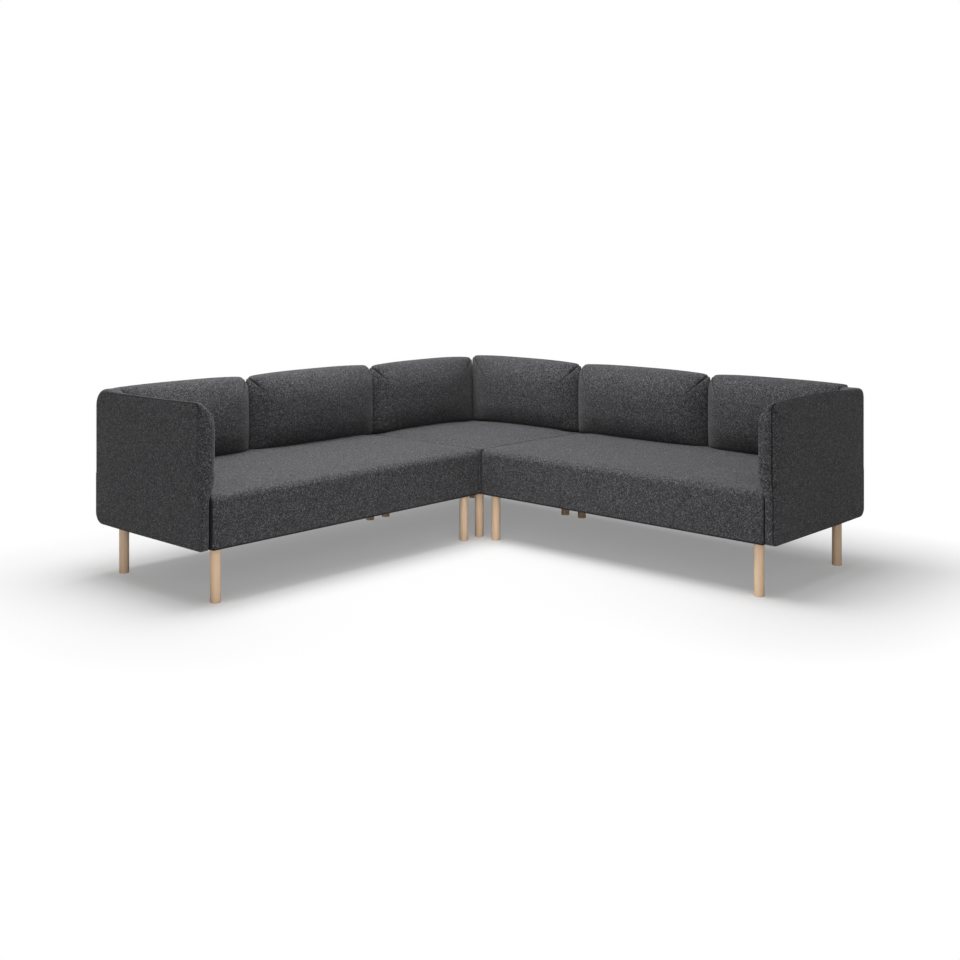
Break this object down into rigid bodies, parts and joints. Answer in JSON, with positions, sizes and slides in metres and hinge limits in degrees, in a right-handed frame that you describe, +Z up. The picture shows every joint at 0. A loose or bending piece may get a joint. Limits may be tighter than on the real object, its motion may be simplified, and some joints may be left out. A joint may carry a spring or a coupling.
{
  "type": "modular corner sofa",
  "caption": "L-shaped modular corner sofa in dark heathered fabric: one-arm wing modules and a corner seat with soft back pads on round beech legs; the wings lift off link pins.",
  "frame": {"origin": "centre of the square floor area that the sofa covers, on the floor", "axes": "+Z up; the corner is at -X +Y, the right wing runs along +X with its back on +Y, and the left wing runs along -Y with its back on -X"},
  "size_m": [2.26, 2.26, 0.763],
  "materials": {
    "seat_fabric": "heathered charcoal wool weave",
    "back_fabric": "heathered charcoal wool weave",
    "arm_fabric": "heathered charcoal wool weave",
    "beech": "clear matt lacquer on beech",
    "frame_wood": "sawn, unfinished",
    "plywood": "birch plywood, unfinished",
    "webbing": "woven elastic strap",
    "dust_cloth": "thin non-woven cloth",
    "zinc_steel": "bright zinc plating",
    "link_steel": "black powder coat",
    "leveller_nylon": "moulded nylon"
  },
  "bodies": {
    "corner_module": {"corner_back_boards": "plywood", "corner_back_pad_left": "back_fabric", "corner_back_pad_right": "back_fabric", "corner_dust_cover": "dust_cloth", "corner_frame_screws": "zinc_steel", "corner_leg_bolts": "zinc_steel", "corner_leg_front": "beech", "corner_leg_left": "beech", "corner_leg_rear": "beech", "corner_leg_right": "beech", "corner_link_plates": "link_steel", "corner_seat_cushion": "seat_fabric", "corner_seat_frame": "frame_wood", "corner_seat_webbing": "webbing"},
    "right_module": {"right_arm_board": "plywood", "right_arm_bolts": "zinc_steel", "right_arm_pad": "arm_fabric", "right_back_boards": "plywood", "right_back_pad_inner": "back_fabric", "right_back_pad_outer": "back_fabric", "right_dust_cover": "dust_cloth", "right_frame_screws": "zinc_steel", "right_leg_bolts": "zinc_steel", "right_leg_inner_front": "beech", "right_leg_inner_rear": "beech", "right_leg_outer_front": "beech", "right_leg_outer_rear": "beech", "right_link_bushes": "link_steel", "right_seat_cushion": "seat_fabric", "right_seat_frame": "frame_wood", "right_seat_webbing": "webbing"},
    "left_module": {"left_arm_board": "plywood", "left_arm_bolts": "zinc_steel", "left_arm_pad": "arm_fabric", "left_back_boards": "plywood", "left_back_pad_inner": "back_fabric", "left_back_pad_outer": "back_fabric", "left_dust_cover": "dust_cloth", "left_frame_screws": "zinc_steel", "left_leg_bolts": "zinc_steel", "left_leg_inner_front": "beech", "left_leg_inner_rear": "beech", "left_leg_outer_front": "beech", "left_leg_outer_rear": "beech", "left_link_bushes": "link_steel", "left_seat_cushion": "seat_fabric", "left_seat_frame": "frame_wood", "left_seat_webbing": "webbing"},
    "corner_leveller_front": {"corner_leveller_front": "leveller_nylon"},
    "corner_leveller_left": {"corner_leveller_left": "leveller_nylon"},
    "corner_leveller_rear": {"corner_leveller_rear": "leveller_nylon"},
    "corner_leveller_right": {"corner_leveller_right": "leveller_nylon"},
    "left_leveller_inner_front": {"left_leveller_inner_front": "leveller_nylon"},
    "left_leveller_inner_rear": {"left_leveller_inner_rear": "leveller_nylon"},
    "left_leveller_outer_front": {"left_leveller_outer_front": "leveller_nylon"},
    "left_leveller_outer_rear": {"left_leveller_outer_rear": "leveller_nylon"},
    "right_leveller_inner_front": {"right_leveller_inner_front": "leveller_nylon"},
    "right_leveller_inner_rear": {"right_leveller_inner_rear": "leveller_nylon"},
    "right_leveller_outer_front": {"right_leveller_outer_front": "leveller_nylon"},
    "right_leveller_outer_rear": {"right_leveller_outer_rear": "leveller_nylon"}
  },
  "joints": [
    {"name": "right_lift", "type": "slide", "parent": "corner_module", "child": "right_module", "axis": [0, 0, 1], "range_m": [0, 0.1]},
    {"name": "left_lift", "type": "slide", "parent": "corner_module", "child": "left_module", "axis": [0, 0, 1], "range_m": [0, 0.1]},
    {"name": "corner_leveller_front_screw", "type": "slide", "parent": "corner_module", "child": "corner_leveller_front", "axis": [0, 0, -1], "range_m": [0, 0.01]},
    {"name": "corner_leveller_left_screw", "type": "slide", "parent": "corner_module", "child": "corner_leveller_left", "axis": [0, 0, -1], "range_m": [0, 0.01]},
    {"name": "corner_leveller_rear_screw", "type": "slide", "parent": "corner_module", "child": "corner_leveller_rear", "axis": [0, 0, -1], "range_m": [0, 0.01]},
    {"name": "corner_leveller_right_screw", "type": "slide", "parent": "corner_module", "child": "corner_leveller_right", "axis": [0, 0, -1], "range_m": [0, 0.01]},
    {"name": "left_leveller_inner_front_screw", "type": "slide", "parent": "left_module", "child": "left_leveller_inner_front", "axis": [0, 0, -1], "range_m": [0, 0.01]},
    {"name": "left_leveller_inner_rear_screw", "type": "slide", "parent": "left_module", "child": "left_leveller_inner_rear", "axis": [0, 0, -1], "range_m": [0, 0.01]},
    {"name": "left_leveller_outer_front_screw", "type": "slide", "parent": "left_module", "child": "left_leveller_outer_front", "axis": [0, 0, -1], "range_m": [0, 0.01]},
    {"name": "left_leveller_outer_rear_screw", "type": "slide", "parent": "left_module", "child": "left_leveller_outer_rear", "axis": [0, 0, -1], "range_m": [0, 0.01]},
    {"name": "right_leveller_inner_front_screw", "type": "slide", "parent": "right_module", "child": "right_leveller_inner_front", "axis": [0, 0, -1], "range_m": [0, 0.01]},
    {"name": "right_leveller_inner_rear_screw", "type": "slide", "parent": "right_module", "child": "right_leveller_inner_rear", "axis": [0, 0, -1], "range_m": [0, 0.01]},
    {"name": "right_leveller_outer_front_screw", "type": "slide", "parent": "right_module", "child": "right_leveller_outer_front", "axis": [0, 0, -1], "range_m": [0, 0.01]},
    {"name": "right_leveller_outer_rear_screw", "type": "slide", "parent": "right_module", "child": "right_leveller_outer_rear", "axis": [0, 0, -1], "range_m": [0, 0.01]}
  ]
}
